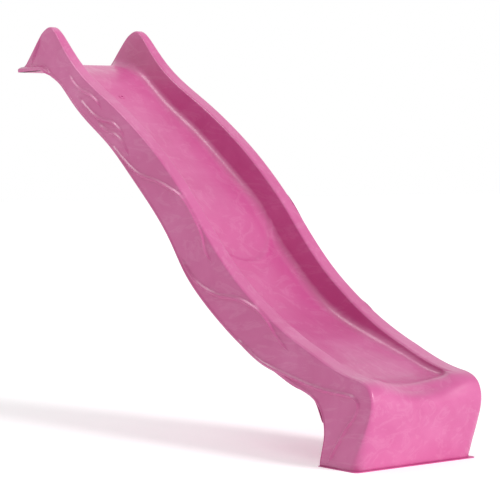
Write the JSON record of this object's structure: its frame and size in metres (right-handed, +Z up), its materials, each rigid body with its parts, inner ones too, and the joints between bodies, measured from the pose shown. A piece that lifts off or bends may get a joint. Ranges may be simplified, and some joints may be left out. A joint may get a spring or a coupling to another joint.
{
  "type": "wave slide",
  "caption": "Hollow moulded garden slide with one wave, high fins at the entry, side rails and a water inlet, for a raised play deck.",
  "frame": {"origin": "on the ground, under the middle of the slide's box", "axes": "+X runs downhill from the lip to the foot, +Y across to the left side of someone sliding down, +Z up"},
  "size_m": [2.3697, 0.5724, 1.6755],
  "materials": {
    "pink_plastic": "semi-gloss moulded polyethylene, faintly marbled",
    "pink_underside": "satin moulded polyethylene",
    "grey_fitting": "satin moulded nylon",
    "black_seal": "matt rubber",
    "zinc_steel": "zinc plated steel",
    "brass": "machined brass"
  },
  "bodies": {
    "root": {"slide_skin": "pink_plastic", "underside_skin": "pink_underside", "lip_sleeves": "zinc_steel", "inlet_spigot": "pink_underside", "inlet_seal": "black_seal", "inlet_spacer": "grey_fitting", "outlet_seal": "black_seal", "outlet_nut": "pink_plastic", "anchor_bracket_left": "zinc_steel", "anchor_bracket_right": "zinc_steel", "anchor_washers": "zinc_steel", "anchor_bolts": "zinc_steel", "anchor_inserts": "brass", "vent_plugs": "pink_underside"}
  },
  "joints": []
}
